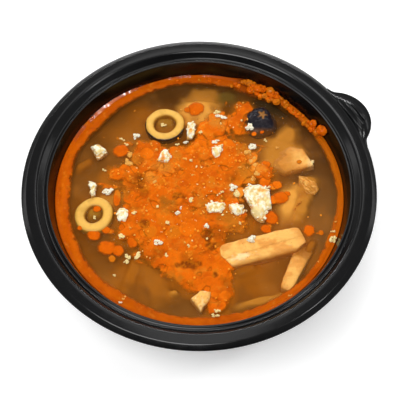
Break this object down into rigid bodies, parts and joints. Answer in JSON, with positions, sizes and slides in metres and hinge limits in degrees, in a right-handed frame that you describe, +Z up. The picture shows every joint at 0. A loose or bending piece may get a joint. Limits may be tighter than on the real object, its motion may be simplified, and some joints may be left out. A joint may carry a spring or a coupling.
{
  "type": "takeaway bowl of solyanka soup",
  "caption": "Round black plastic takeaway bowl with a stepped rim and a finger tab, filled with fish and olive soup under orange fat and white curds.",
  "frame": {"origin": "centre of the flat base, on the axis of the bowl", "axes": "+Z up along the axis of the bowl; the finger tab points 28 degrees from +X towards +Y"},
  "size_m": [0.16, 0.16, 0.05],
  "materials": {
    "black_plastic": "black moulded polypropylene, smooth with a soft gloss",
    "broth": "cloudy brown soup, glossy and wet",
    "orange_fat": "orange tomato-coloured fat, glossy and uneven",
    "green_olive": "pale yellow-green olive flesh with a thin dark skin, moist",
    "dark_olive": "black olive, wet and glossy",
    "fish": "pale cooked fish stained by the soup, moist",
    "curd": "cream-white soft curd, matt and crumbly"
  },
  "bodies": {
    "root": {"bowl": "black_plastic", "broth": "broth", "fat_ring": "orange_fat", "fat_raft": "orange_fat", "olive_ring_back": "green_olive", "olive_ring_left": "green_olive", "dark_olive": "dark_olive", "fish_strip_long": "fish", "fish_strip_side": "fish", "fish_wedge": "fish", "fish_chunk_front": "fish", "curd_large": "curd", "curd_flake_right": "curd", "curd_flake_left": "curd", "curd_cube": "curd", "curd_long": "curd", "curd_middle_left": "curd", "curd_middle_right": "curd", "curd_left_post": "curd", "curd_left_block": "curd"}
  },
  "joints": []
}
